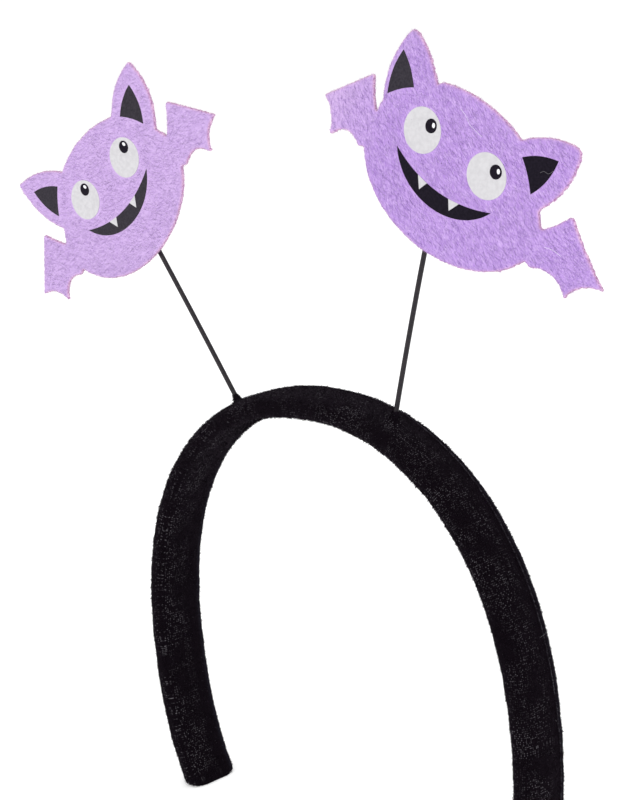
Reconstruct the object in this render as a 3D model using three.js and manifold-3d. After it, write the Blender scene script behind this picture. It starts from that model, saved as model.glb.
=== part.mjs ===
// Head bopper: a headband wrapped in black velvet, with two wire stalks that carry felt bats.
// Millimetres. The band stands on its two tips with its arch in the XZ plane, the bats face -Y
// and +Z is up. The origin is the middle of the foot of the whole part's box.
import * as THREE from 'three';
import { mergeVertices } from 'three/addons/utils/BufferGeometryUtils.js';
import Module from 'manifold-3d';

// The air left between pieces that touch on the real object
const CLEARANCE = 0.3;

// The band: a superellipse arch, measured on its outer face, and the domed section that follows it
const ARCH_HALF_WIDTH = 72;
const ARCH_RISE = 83.6;
const ARCH_POWER = 2.21;
const LEG_DROP = 40;
const BAND_WIDTH = 16.8;
const BAND_THICK = 6.7;
const DOME_POWER = 2.4;
const BACKING_POWER = 4;
const TIP_CORNER = 2.2;
const ARCH_STEPS = 72;
const SECTION_SIDES = 20;

// The velvet drawn up round each wire where it leaves the band
const COLLAR_HEIGHT = 0.9;
const COLLAR_FOOT_RADIUS = 2.1;
const COLLAR_LIP = 0.35;
const COLLAR_ROWS = 4;
const COLLAR_SIDES = 14;

// The wires, from the middle of the band's thickness to the felt's lower edge, and the shares
// of their free and glued stretches where their curve has a point
const WIRE_RADIUS = 0.67;
const STALK_ANGLE = 68;
const STALK_BOW = 0.25;
const WIRE_SIDES = 10;
const WIRE_STEPS = 36;
const FREE_SHARES = [0, 0.12, 0.3, 0.5, 0.7, 0.88];
const GLUED_SHARES = [0.1, 0.4, 0.7, 1];

// The end of each wire behind the felt, and the bead of glue over it
const GLUED_LENGTH = 18;
const GLUE_WALL = 0.9;
const GLUE_HALF_WIDTH = 2.6;
const GLUE_OVERRUN = 1.5;
const GLUE_SIDES = 14;

// The felt bats. A pulled ear turns about its pivot, given in shares of the head's half sizes,
// and its inner root goes along by a share.
const FELT_THICK = 1.2;
const HEAD_HALF_WIDTH = 29.5;
const HEAD_HALF_HEIGHT = 20.65;
const EAR_ROOT_ANGLE = 61;
const EAR_ROOT_PULL = 0.4;
const EAR_PIVOT = new THREE.Vector2(0.88, 0.87);
const WING_ROOT_ANGLE = -20.8;
const FELT_CORNER = 0.9;
const OUTLINE_STEP = 1.4;
const LEAST_ROUND_SIDES = 12;
const BEND_ROWS = 18;

// The printed films
const FILM_THICK = 0.4;
const EYE_RADII = new THREE.Vector2(6.0, 5.7);
const EYE_CENTRE = new THREE.Vector2(11.15, 6.2);
const PUPIL_RADIUS = 1.8;
const PUPIL_SHIFT = new THREE.Vector2(2.0, 2.3);
const GLINT_RADII = new THREE.Vector2(0.46, 0.66);
const GLINT_SHIFT = new THREE.Vector2(0.67, 0.51);
const GLINT_LEAN = 28;
const MOUTH_HALF_WIDTH = 16.3;
const MOUTH_CORNER_HEIGHT = -1.1;
const UPPER_LIP_SAG = 3.6;
const UPPER_LIP_HANDLE = 0.34;
const LOWER_LIP_SAG = 8.15;
const LOWER_LIP_HANDLE = 0.57;
const LIP_SAMPLES = 60;
const FANG_NEAR = 3.75;
const FANG_FAR = 7.1;
const FANG_TIP = new THREE.Vector2(5.2, -7.0);

// Each side's wire and felt as they are bent in the photo: the wire's lean outwards and to the
// front and its free length, turns of the bat, how far its felt is bent to the front at the
// bend's reach and the bend's direction, where the wire crosses the felt's lower edge, the share
// of the glued stretch where the glue starts, how far the print lies off the felt's middle and
// how much of the ears' tips is worn round. Each ear is then pulled a little: turned inwards,
// moved outwards and upwards with its print, and its tip drawn out. Angles are in degrees.
const BEND_REACH = 38;
const BEND_POWER = 3.2;
const SIDES = {
  right: {
    side: 1, lean: 18.75, front: -1.2, free: 50.8, yaw: 3.9, pitch: -4.6, tilt: 30.4,
    bend: -4.4, bendAngle: -33, entry: 0.1, glueFrom: 0.1,
    print: new THREE.Vector2(-1.6, -0.6), tipWear: 2.0,
    ears: {
      a: { turn: 9.2, out: 0.15, up: -0.45, drawn: -0.3 },
      b: { turn: 0, out: 0, up: 0, drawn: -0.4 },
    },
  },
  left: {
    side: -1, lean: 36.05, front: -4.1, free: 53.4, yaw: 3.7, pitch: 1.1, tilt: -33.1,
    bend: 4.8, bendAngle: -90, entry: 2.0, glueFrom: 0.25,
    print: new THREE.Vector2(-0.65, 0.6), tipWear: 0.6,
    ears: {
      a: { turn: 0, out: 0, up: 0, drawn: 1.3 },
      b: { turn: 0, out: 0, up: 0, drawn: 0.8 },
    },
  },
};

// One half of the bat's outline after the ear's inner root, clockwise. x and y are shares of the
// head's half width and half height, bow is how far an edge stands out in its middle as a share
// of its length, and corner says whether the edge ends in a softened corner.
const OUTLINE = [
  { end: 'ear tip', x: 1.047, y: 1.197, bow: 0.095, corner: true },
  { end: 'ear outer root', x: 0.882, y: 0.284, bow: 0.12, corner: false },
  { end: 'ear notch', x: 0.962, y: 0.081, bow: 0.03, corner: false },
  { end: 'wing top', x: 1.178, y: 0.448, bow: -0.04, corner: true },
  { end: 'wing tip', x: 1.62, y: -0.197, bow: 0.0, corner: false },
  { end: 'middle cusp', x: 1.348, y: -0.532, bow: -0.165, corner: false },
  { end: 'inner cusp', x: 0.997, y: -0.399, bow: -0.25, corner: false },
];

// The black triangle printed on each ear, in the same shares and with the same bows
const INNER_EAR = [
  { end: 'apex', x: 0.937, y: 0.956, bow: 0.07 },
  { end: 'outer corner', x: 0.822, y: 0.429, bow: 0.085 },
  { end: 'inner corner', x: 0.617, y: 0.749, bow: -0.045 },
];

const COLORS = {
  velvet: 0x0d0b0f, wire: 0x141215, felt: 0xb793e0, glue: 0xe9dcc4,
  ink: 0x151218, white: 0xe4e1e6,
};

const UP = new THREE.Vector3(0, 1, 0);
const MERGE_DISTANCE = 1e-4;

const wasm = await Module();
wasm.setup();

// A closed geometry as a solid that can be joined and cut
function solidOf(geometry) {
  const bare = geometry.clone();
  bare.deleteAttribute('normal');
  bare.deleteAttribute('uv');
  const merged = mergeVertices(bare, MERGE_DISTANCE);
  return new wasm.Manifold(new wasm.Mesh({
    numProp: 3,
    vertProperties: merged.attributes.position.array,
    triVerts: new Uint32Array(merged.index.array),
  }));
}

// The geometry of a solid
function geometryOf(solid) {
  const mesh = solid.getMesh();
  const geometry = new THREE.BufferGeometry();
  geometry.setAttribute('position', new THREE.BufferAttribute(mesh.vertProperties, 3));
  geometry.setIndex(new THREE.BufferAttribute(mesh.triVerts, 1));
  geometry.computeVertexNormals();
  return geometry;
}

function meshOf(name, geometry, color, roughness) {
  const material = new THREE.MeshStandardMaterial({ color, roughness, metalness: 0 });
  const mesh = new THREE.Mesh(geometry, material);
  mesh.name = name;
  return mesh;
}

// A cosine or sine raised to a superellipse's power, with its sign kept
function bulged(value, power) {
  return Math.sign(value) * Math.abs(value) ** (2 / power);
}

// A point of the arch, inset from its outer face, at an ellipse's angle
function archPoint(angle, inset) {
  return new THREE.Vector3(
    (ARCH_HALF_WIDTH - inset) * bulged(Math.cos(angle), ARCH_POWER),
    0,
    (ARCH_RISE - inset) * bulged(Math.sin(angle), ARCH_POWER),
  );
}

// The middle line of the band from the right tip over the crown to the left one, run on past
// both tips by the band's thickness
class ArchCurve extends THREE.Curve {
  constructor() {
    super();
    const drop = (LEG_DROP + BAND_THICK) / (ARCH_RISE - BAND_THICK / 2);
    this.start = -Math.asin(drop ** (ARCH_POWER / 2));
    this.sweep = Math.PI - 2 * this.start;
  }

  getPoint(share) {
    return archPoint(this.start + this.sweep * share, BAND_THICK / 2);
  }
}

// The band's section: x runs along the band's width and y out from the head
function bandSection() {
  const points = [];
  for (let i = 0; i < SECTION_SIDES; i += 1) {
    const turn = (2 * Math.PI * i) / SECTION_SIDES;
    const power = Math.sin(turn) > 0 ? DOME_POWER : BACKING_POWER;
    points.push(new THREE.Vector2(
      (BAND_WIDTH / 2) * bulged(Math.cos(turn), power),
      (BAND_THICK / 2) * bulged(Math.sin(turn), power),
    ));
  }
  return new THREE.Shape(points);
}

// Where the band stands: everything above the cut tips, with their lower corners rounded
function standingSpace() {
  const half = BAND_WIDTH / 2;
  const top = 2 * ARCH_RISE;
  const shape = new THREE.Shape();
  shape.moveTo(-half, top);
  shape.lineTo(-half, TIP_CORNER);
  shape.quadraticCurveTo(-half, 0, TIP_CORNER - half, 0);
  shape.lineTo(half - TIP_CORNER, 0);
  shape.quadraticCurveTo(half, 0, half, TIP_CORNER);
  shape.lineTo(half, top);
  const reach = 2 * ARCH_HALF_WIDTH;
  const space = new THREE.ExtrudeGeometry(shape, {
    depth: 2 * reach, bevelEnabled: false, curveSegments: 5,
  });
  space.scale(1 + MERGE_DISTANCE, 1, 1);
  space.translate(0, 0, -reach);
  space.rotateX(Math.PI / 2);
  space.rotateZ(Math.PI / 2);
  space.translate(0, 0, -LEG_DROP);
  return solidOf(space);
}

// The foot, direction and surface distance of one side's wire
function stalkLine({ side, lean, front }) {
  const angle = THREE.MathUtils.degToRad(side > 0 ? STALK_ANGLE : 180 - STALK_ANGLE);
  const foot = archPoint(angle, BAND_THICK / 2);
  const direction = new THREE.Vector3(
    side * Math.tan(THREE.MathUtils.degToRad(lean)),
    -Math.tan(THREE.MathUtils.degToRad(front)),
    1,
  ).normalize();
  const step = 0.01;
  const along = archPoint(angle + step, 0).sub(archPoint(angle - step, 0)).normalize();
  const outward = new THREE.Vector3(along.z, 0, -along.x);
  const rise = BAND_THICK / 2 / outward.dot(direction);
  return { foot, direction, rise };
}

// A lathe or cylinder geometry that stands on a point along a direction
function stood(geometry, point, direction) {
  geometry.applyQuaternion(new THREE.Quaternion().setFromUnitVectors(UP, direction));
  geometry.translate(point.x, point.y, point.z);
  return geometry;
}

// The flared velvet collar of one wire, rooted in the band
function collarSolid(line) {
  const top = WIRE_RADIUS + CLEARANCE + COLLAR_LIP;
  const root = line.rise - BAND_THICK / 4;
  const profile = [new THREE.Vector2(0, root), new THREE.Vector2(COLLAR_FOOT_RADIUS, root)];
  for (let i = 0; i <= COLLAR_ROWS; i += 1) {
    const share = i / COLLAR_ROWS;
    const radius = top + (COLLAR_FOOT_RADIUS - top) * (1 - share) ** 2;
    profile.push(new THREE.Vector2(radius, line.rise + COLLAR_HEIGHT * share));
  }
  profile.push(new THREE.Vector2(0, line.rise + COLLAR_HEIGHT));
  const flare = new THREE.LatheGeometry(profile, COLLAR_SIDES);
  return solidOf(stood(flare, line.foot, line.direction));
}

// The hole that one wire stands in
function holeSolid(line) {
  const top = line.rise + 2 * COLLAR_HEIGHT;
  const length = top + CLEARANCE;
  const radius = WIRE_RADIUS + CLEARANCE;
  const hole = new THREE.CylinderGeometry(radius, radius, length, WIRE_SIDES);
  hole.translate(0, top - length / 2, 0);
  return solidOf(stood(hole, line.foot, line.direction));
}

function headband() {
  const path = new ArchCurve();
  let solid = solidOf(new THREE.ExtrudeGeometry(bandSection(), {
    steps: ARCH_STEPS, extrudePath: path,
  }));
  solid = solid.intersect(standingSpace());
  for (const pose of Object.values(SIDES)) {
    const line = stalkLine(pose);
    solid = solid.add(collarSolid(line)).subtract(holeSolid(line));
  }
  return meshOf('headband', geometryOf(solid), COLORS.velvet, 0.95);
}

// How far a bent felt stands to the front at a distance across its bend
function bendProfile(bend, across) {
  return bend * (Math.abs(across) / BEND_REACH) ** BEND_POWER;
}

// How far a bat's bent felt stands to the front at a point of its plane
function bentHeight({ bend, bendAngle }, x, y) {
  const angle = THREE.MathUtils.degToRad(bendAngle);
  return bendProfile(bend, x * Math.cos(angle) + y * Math.sin(angle));
}

// A bent sheet between two heights over the bat's plane, wider than the bat
function bentSheet(pose, low, high) {
  const reach = 2 * HEAD_HALF_WIDTH;
  const rim = (height) => Array.from({ length: BEND_ROWS + 1 }, (_, i) => {
    const across = -reach + (2 * reach * i) / BEND_ROWS;
    return new THREE.Vector2(across, bendProfile(pose.bend, across) + height);
  });
  const shape = new THREE.Shape([...rim(low), ...rim(high).reverse()]);
  const sheet = new THREE.ExtrudeGeometry(shape, { depth: 2 * reach, bevelEnabled: false });
  const angle = THREE.MathUtils.degToRad(pose.bendAngle);
  sheet.translate(0, 0, -reach);
  sheet.applyMatrix4(new THREE.Matrix4().makeBasis(
    new THREE.Vector3(Math.cos(angle), Math.sin(angle), 0),
    new THREE.Vector3(0, 0, 1),
    new THREE.Vector3(Math.sin(angle), -Math.cos(angle), 0),
  ));
  return solidOf(sheet);
}

// What an outline cuts out of the bent sheet between two heights
function cutOut(pose, points, low, high) {
  const deep = HEAD_HALF_WIDTH;
  const prism = new THREE.ExtrudeGeometry(new THREE.Shape(points), {
    depth: 2 * deep, bevelEnabled: false,
  });
  prism.translate(0, 0, -deep);
  return solidOf(prism).intersect(bentSheet(pose, low, high));
}

// A curve between two points whose middle stands out to the left by a share of its length
function bowedEdge(from, to, bow) {
  const way = to.clone().sub(from);
  const left = new THREE.Vector2(-way.y, way.x);
  const middle = from.clone().add(to).multiplyScalar(0.5).addScaledVector(left, 2 * bow);
  return new THREE.QuadraticBezierCurve(from, middle, to);
}

// Points along a curve, about one outline step apart and without the last one
function steppedPoints(curve) {
  const count = Math.max(2, Math.ceil(curve.getLength() / OUTLINE_STEP));
  return curve.getSpacedPoints(count).slice(0, -1);
}

// Points of an arc of the head's ellipse between two angles in degrees
function headArc(from, to) {
  const arc = new THREE.EllipseCurve(
    0, 0, HEAD_HALF_WIDTH, HEAD_HALF_HEIGHT,
    THREE.MathUtils.degToRad(from), THREE.MathUtils.degToRad(to), from > to,
  );
  return steppedPoints(arc);
}

function headPoint(angle) {
  const turn = THREE.MathUtils.degToRad(angle);
  return new THREE.Vector2(
    HEAD_HALF_WIDTH * Math.cos(turn),
    HEAD_HALF_HEIGHT * Math.sin(turn),
  );
}

// The outline's points with each softened corner cut back and rounded
function softened(points, corners) {
  return points.flatMap((point, i) => {
    const corner = corners.find(({ at }) => at === point);
    if (!corner) {
      return corners.some(({ at, cut }) => at.distanceTo(point) < cut) ? [] : [point];
    }
    const before = points.slice(0, i).findLast((p) => p.distanceTo(point) >= corner.cut);
    const after = points.slice(i + 1).find((p) => p.distanceTo(point) >= corner.cut);
    const ends = [before, after].map((p) => {
      return p.clone().sub(point).setLength(corner.cut).add(point);
    });
    return new THREE.QuadraticBezierCurve(ends[0], point, ends[1]).getPoints(4);
  });
}

// A point of the half outline given in shares of the head's half sizes
function shared({ x, y }) {
  return new THREE.Vector2(x * HEAD_HALF_WIDTH, y * HEAD_HALF_HEIGHT);
}

// Where a point of an ear comes to lie when the ear is pulled
function pulled(point, { turn, out, up }) {
  const pivot = shared(EAR_PIVOT);
  return point.clone().rotateAround(pivot, THREE.MathUtils.degToRad(turn))
    .add(new THREE.Vector2(out, up));
}

// One half of a bat's outline, x outwards, from the top of its head to its chin
function halfOutline(pose, end) {
  const ear = pose.ears[end];
  const half = headArc(90, EAR_ROOT_ANGLE);
  const corners = [];
  const root = headPoint(EAR_ROOT_ANGLE);
  const drawn = headPoint(EAR_ROOT_ANGLE / 2).setLength(ear.drawn);
  let from = root.clone().lerp(pulled(root, ear), EAR_ROOT_PULL);
  for (const row of OUTLINE) {
    let to = shared(row);
    if (row.end === 'ear tip') to = pulled(to.add(drawn), ear);
    if (row.end === 'ear outer root') to = pulled(to, ear);
    const edge = steppedPoints(bowedEdge(from, to, row.bow));
    edge[0] = from;
    half.push(...edge);
    if (row.corner) corners.push({ at: to, cut: row.end === 'ear tip' ? pose.tipWear : FELT_CORNER });
    from = to;
  }
  half.push(from, ...headArc(WING_ROOT_ANGLE, -90));
  return softened(half, corners);
}

// A bat's whole outline, clockwise from the top of its head
function batOutline(pose) {
  const left = halfOutline(pose, 'a').slice(1).map(({ x, y }) => new THREE.Vector2(-x, y));
  return [...halfOutline(pose, 'b'), headPoint(-90), ...left.reverse()];
}

function ellipsePoints(centre, radii, lean) {
  const turn = THREE.MathUtils.degToRad(lean);
  const ellipse = new THREE.EllipseCurve(
    centre.x, centre.y, radii.x, radii.y, 0, 2 * Math.PI, false, turn,
  );
  const count = Math.max(LEAST_ROUND_SIDES, Math.ceil(ellipse.getLength() / OUTLINE_STEP));
  return ellipse.getSpacedPoints(count).slice(0, -1);
}

// The inner ear of one side of the face, which goes with its ear
function innerEarPoints(sign, ear) {
  const corners = INNER_EAR.map((row) => {
    const corner = pulled(shared(row), ear);
    return new THREE.Vector2(sign * corner.x, corner.y);
  });
  return INNER_EAR.flatMap(({ bow }, i) => {
    const from = corners.at(i - 1);
    return steppedPoints(bowedEdge(from, corners[i], sign * bow));
  });
}

// A lip from the left corner of the mouth to the right one. A cubic curve's middle sinks by
// three quarters of its handles' depth.
function lipCurve(sag, handle) {
  const low = MOUTH_CORNER_HEIGHT - sag / 0.75;
  return new THREE.CubicBezierCurve(
    new THREE.Vector2(-MOUTH_HALF_WIDTH, MOUTH_CORNER_HEIGHT),
    new THREE.Vector2(-handle * MOUTH_HALF_WIDTH, low),
    new THREE.Vector2(handle * MOUTH_HALF_WIDTH, low),
    new THREE.Vector2(MOUTH_HALF_WIDTH, MOUTH_CORNER_HEIGHT),
  );
}

const UPPER_LIP = lipCurve(UPPER_LIP_SAG, UPPER_LIP_HANDLE);
const LOWER_LIP = lipCurve(LOWER_LIP_SAG, LOWER_LIP_HANDLE);

function mouthPoints() {
  const upper = steppedPoints(UPPER_LIP);
  const lower = LOWER_LIP.getSpacedPoints(upper.length);
  return [...upper, ...lower.slice(1).reverse()];
}

// The height of the upper lip at a distance from the mouth's middle
function upperLipHeight(x) {
  return UPPER_LIP.getSpacedPoints(LIP_SAMPLES).reduce((best, p) => {
    return Math.abs(p.x - x) < Math.abs(best.x - x) ? p : best;
  }).y;
}

// A fang: a triangle that hangs from the upper lip
function fangPoints(hand) {
  const near = new THREE.Vector2(hand * FANG_NEAR, upperLipHeight(hand * FANG_NEAR));
  const far = new THREE.Vector2(hand * FANG_FAR, upperLipHeight(hand * FANG_FAR));
  return [near, far, new THREE.Vector2(hand * FANG_TIP.x, FANG_TIP.y)];
}

// The felt's own lower edge where the wire crosses it
function entryPoint({ entry }) {
  const height = HEAD_HALF_HEIGHT * Math.sqrt(1 - (entry / HEAD_HALF_WIDTH) ** 2);
  return new THREE.Vector2(entry, -height);
}

// The height of the wire's middle line over the bat's plane, behind the felt
function wireHeight(pose, x, y) {
  return bentHeight(pose, x, y) - FELT_THICK - CLEARANCE - WIRE_RADIUS;
}

// The bat's group: its x and y lie in the felt's plane and its z points to the viewer
function batGroup(pose) {
  const line = stalkLine(pose);
  const group = new THREE.Group();
  const turns = new THREE.Euler(
    THREE.MathUtils.degToRad(pose.pitch),
    THREE.MathUtils.degToRad(pose.tilt),
    THREE.MathUtils.degToRad(pose.yaw),
    'ZXY',
  );
  const facing = new THREE.Quaternion().setFromAxisAngle(new THREE.Vector3(1, 0, 0), Math.PI / 2);
  group.quaternion.setFromEuler(turns).multiply(facing);
  const edge = entryPoint(pose);
  const held = new THREE.Vector3(edge.x, edge.y, wireHeight(pose, edge.x, edge.y));
  const top = line.foot.clone().addScaledVector(line.direction, pose.free);
  group.position.copy(top.sub(held.applyQuaternion(group.quaternion)));
  group.updateMatrixWorld(true);
  return group;
}

// The line that the wire's end takes behind the felt, at shares of it, in the bat's own frame
function gluedLine(pose, group, shares) {
  const inverse = group.quaternion.clone().invert();
  const way = stalkLine(pose).direction.applyQuaternion(inverse).setZ(0).normalize();
  const edge = entryPoint(pose);
  return shares.map((share) => {
    const x = edge.x + way.x * GLUED_LENGTH * share;
    const y = edge.y + way.y * GLUED_LENGTH * share;
    return new THREE.Vector3(x, y, wireHeight(pose, x, y));
  });
}

// The middle line of one side's wire in the band's frame
function wireCurve(pose, group) {
  const line = stalkLine(pose);
  const at = (share) => line.foot.clone().addScaledVector(line.direction, pose.free * share);
  const inward = new THREE.Vector3(-pose.side, 0, 0);
  const shaft = FREE_SHARES.map((share) => {
    return at(share).addScaledVector(inward, 4 * STALK_BOW * share * (1 - share));
  });
  const end = gluedLine(pose, group, GLUED_SHARES).map((point) => group.localToWorld(point));
  return new THREE.CatmullRomCurve3([...shaft, ...end], false, 'centripetal');
}

// A tube of the wire's section along its curve, grown by a margin
function wireTube(curve, radius) {
  const points = Array.from({ length: WIRE_SIDES }, (_, i) => {
    const turn = (2 * Math.PI * i) / WIRE_SIDES;
    return new THREE.Vector2(radius * Math.cos(turn), radius * Math.sin(turn));
  });
  return new THREE.ExtrudeGeometry(new THREE.Shape(points), {
    steps: WIRE_STEPS, extrudePath: curve,
  });
}

// The bead of glue: a long dome on the felt's back, hollowed for the wire
function glueBead(pose, group, curve) {
  const [start, end] = gluedLine(pose, group, [pose.glueFrom, 1]);
  const way = end.clone().sub(start).setZ(0);
  const length = way.length() + GLUE_OVERRUN;
  const dome = new THREE.CapsuleGeometry(GLUE_HALF_WIDTH, length, GLUE_SIDES / 2, GLUE_SIDES);
  const height = CLEARANCE + 2 * WIRE_RADIUS + CLEARANCE + GLUE_WALL;
  dome.scale(1, 1, height / GLUE_HALF_WIDTH);
  dome.translate(0, length / 2, 0);
  dome.applyQuaternion(new THREE.Quaternion().setFromUnitVectors(UP, way.normalize()));
  dome.translate(start.x, start.y, start.z + WIRE_RADIUS + CLEARANCE);
  const channel = wireTube(curve, WIRE_RADIUS + CLEARANCE);
  channel.applyMatrix4(group.matrixWorld.clone().invert());
  const behind = bentSheet(pose, -HEAD_HALF_WIDTH, -FELT_THICK - CLEARANCE);
  return solidOf(dome).intersect(behind).subtract(solidOf(channel));
}

// One side's bat: the felt, the films printed on it and the glue behind it
function bat(hand, pose, group, curve) {
  const add = (name, solid, color, roughness) => {
    group.add(meshOf(name + '_' + hand, geometryOf(solid), color, roughness));
  };
  const print = (name, points, layer, color) => {
    const moved = points.map((point) => point.clone().add(pose.print));
    const low = CLEARANCE + layer * (FILM_THICK + CLEARANCE);
    add(name, cutOut(pose, moved, low, low + FILM_THICK), color, 0.5);
  };
  add('bat', cutOut(pose, batOutline(pose), -FELT_THICK, 0), COLORS.felt, 0.95);
  add('glue', glueBead(pose, group, curve), COLORS.glue, 0.35);
  print('mouth', mouthPoints(), 0, COLORS.ink);
  for (const [end, sign] of [['a', -1], ['b', 1]]) {
    const eye = new THREE.Vector2(sign * EYE_CENTRE.x, EYE_CENTRE.y);
    const pupil = eye.clone().add(PUPIL_SHIFT);
    const glint = pupil.clone().add(GLINT_SHIFT);
    const round = new THREE.Vector2(PUPIL_RADIUS, PUPIL_RADIUS);
    print('inner_ear_' + end, innerEarPoints(sign, pose.ears[end]), 0, COLORS.ink);
    print('eye_white_' + end, ellipsePoints(eye, EYE_RADII, 0), 0, COLORS.white);
    print('pupil_' + end, ellipsePoints(pupil, round, 0), 1, COLORS.ink);
    print('eye_glint_' + end, ellipsePoints(glint, GLINT_RADII, GLINT_LEAN), 2, COLORS.white);
    print('fang_' + end, fangPoints(sign), 1, COLORS.white);
  }
}

const part = new THREE.Group();
const placed = new THREE.Group();
part.add(placed);
placed.add(headband());
for (const [hand, pose] of Object.entries(SIDES)) {
  const group = batGroup(pose);
  const curve = wireCurve(pose, group);
  placed.add(meshOf('stalk_' + hand, wireTube(curve, WIRE_RADIUS), COLORS.wire, 0.4));
  bat(hand, pose, group, curve);
  placed.add(group);
}

// Set the part on its feet, with the origin under the middle of its box
part.updateMatrixWorld(true);
const box = new THREE.Box3().setFromObject(placed, true);
const middle = box.getCenter(new THREE.Vector3());
placed.position.set(-middle.x, -middle.y, -box.min.z);

export default part;
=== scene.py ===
"""Head bopper: a velvet-wrapped headband with two wire stalks that carry felt bats.

Metres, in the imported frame: the band stands on its two tips with its arch in the XZ plane, the
bats face -Y and +Z is up. Every class below dresses one sub-assembly of the part.
"""

import logging
import math
from collections.abc import Iterable, Sequence
from dataclasses import dataclass
from enum import Enum

import bpy
import numpy as np
from mathutils import Matrix, Vector
from mathutils.bvhtree import BVHTree


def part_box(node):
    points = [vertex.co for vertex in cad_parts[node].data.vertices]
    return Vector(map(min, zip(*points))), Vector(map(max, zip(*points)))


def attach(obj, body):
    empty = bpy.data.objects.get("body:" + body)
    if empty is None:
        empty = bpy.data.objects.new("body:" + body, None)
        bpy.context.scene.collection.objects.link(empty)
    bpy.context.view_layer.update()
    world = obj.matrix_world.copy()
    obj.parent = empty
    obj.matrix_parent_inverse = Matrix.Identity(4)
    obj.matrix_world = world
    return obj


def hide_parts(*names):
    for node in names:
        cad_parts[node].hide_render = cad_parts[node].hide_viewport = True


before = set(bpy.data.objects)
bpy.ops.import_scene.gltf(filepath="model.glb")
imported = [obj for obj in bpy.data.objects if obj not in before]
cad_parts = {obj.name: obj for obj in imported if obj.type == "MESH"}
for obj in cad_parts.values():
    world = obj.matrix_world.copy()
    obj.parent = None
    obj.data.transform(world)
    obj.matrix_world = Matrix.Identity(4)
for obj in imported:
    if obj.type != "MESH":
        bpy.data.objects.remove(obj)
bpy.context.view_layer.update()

MM = 0.001
MERGE_DISTANCE = 2e-6

Colour = tuple[float, float, float]
Piece = bpy.types.Object
Socket = bpy.types.NodeSocket
Group = bpy.types.NodeTree
Material = bpy.types.Material

log = logging.getLogger("head_bopper")


class Side(Enum):
    """A hand of the part, seen from the front."""

    RIGHT = "right"
    LEFT = "left"


class Slot(Enum):
    """The record's material slots."""

    VELVET = "velvet"
    WIRE = "wire"
    FELT = "felt"
    GLUE = "glue"
    BLACK = "print_black"
    WHITE = "print_white"


# Modelling helpers


def take(piece: Piece) -> None:
    """Select one piece alone and make it the active one."""
    bpy.ops.object.select_all(action="DESELECT")
    piece.select_set(True)
    bpy.context.view_layer.objects.active = piece


def solid_copy(node: str, name: str) -> Piece:
    """Copy a CAD node as a new piece with its doubles merged.

    Args:
        node: The CAD node's name.
        name: The new piece's name.

    Returns:
        The new piece, with no material.
    """
    piece = bpy.data.objects.new(name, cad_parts[node].data.copy())
    bpy.context.scene.collection.objects.link(piece)
    piece.data.materials.clear()
    take(piece)
    bpy.ops.mesh.customdata_custom_splitnormals_clear()
    bpy.ops.object.mode_set(mode="EDIT")
    bpy.ops.mesh.select_all(action="SELECT")
    bpy.ops.mesh.remove_doubles(threshold=MERGE_DISTANCE)
    bpy.ops.object.mode_set(mode="OBJECT")
    return piece


def apply_modifier(piece: Piece, kind: str, **settings: object) -> None:
    """Add a modifier to a piece and apply it.

    Args:
        piece: The piece.
        kind: Blender's name of the modifier's type.
        settings: The modifier's settings by name.
    """
    modifier = piece.modifiers.new(kind.lower(), kind)
    for key, value in settings.items():
        setattr(modifier, key, value)
    take(piece)
    bpy.ops.object.modifier_apply(modifier=modifier.name)


def remesh(piece: Piece, grid: float, rounds: int) -> None:
    """Rebuild a piece's mesh on an even grid and smooth it.

    Args:
        piece: The piece.
        grid: The width of a cell.
        rounds: How many times it is smoothed.
    """
    apply_modifier(piece, "REMESH", mode="VOXEL", voxel_size=grid)
    apply_modifier(piece, "SMOOTH", factor=0.5, iterations=rounds)


def roughen(piece: Piece, name: str, size: float, height: float, group: str = "") -> None:
    """Move a piece's surface in and out by a cloudy texture.

    Args:
        piece: The piece.
        name: The texture's name.
        size: The width of one lump.
        height: How far the highest lump lies over the deepest dent.
        group: The vertex group that weighs it, if there is one.
    """
    texture = bpy.data.textures.new(name, type="CLOUDS")
    texture.noise_scale = size
    texture.noise_depth = 1
    apply_modifier(
        piece,
        "DISPLACE",
        texture=texture,
        texture_coords="LOCAL",
        strength=height,
        mid_level=0.5,
        vertex_group=group,
    )


def shade_smooth(piece: Piece) -> None:
    """Shade a piece smooth all over."""
    take(piece)
    bpy.ops.object.shade_smooth()


def vertex_values(piece: Piece, name: str) -> np.ndarray:
    """One of the three-number properties of the piece's vertices, a row for each."""
    flat = np.empty(len(piece.data.vertices) * 3)
    piece.data.vertices.foreach_get(name, flat)
    return flat.reshape(-1, 3)


def vertex_array(piece: Piece) -> np.ndarray:
    """The piece's vertices, a row for each."""
    return vertex_values(piece, "co")


def normal_array(piece: Piece) -> np.ndarray:
    """The normals at the piece's vertices, a row for each."""
    return vertex_values(piece, "normal")


def set_vertices(piece: Piece, points: np.ndarray) -> None:
    """Move the piece's vertices to the given points."""
    piece.data.vertices.foreach_set("co", points.astype(np.float32).ravel())
    piece.data.update()


def set_attribute(piece: Piece, name: str, values: np.ndarray) -> None:
    """Store one number for each vertex under a name that a material reads."""
    attribute = piece.data.attributes.new(name, "FLOAT", "POINT")
    attribute.data.foreach_set("value", values.astype(np.float32))


def unit(vectors: np.ndarray) -> np.ndarray:
    """The vectors scaled to a length of one."""
    return vectors / np.maximum(np.linalg.norm(vectors, axis=1, keepdims=True), 1e-12)


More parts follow.
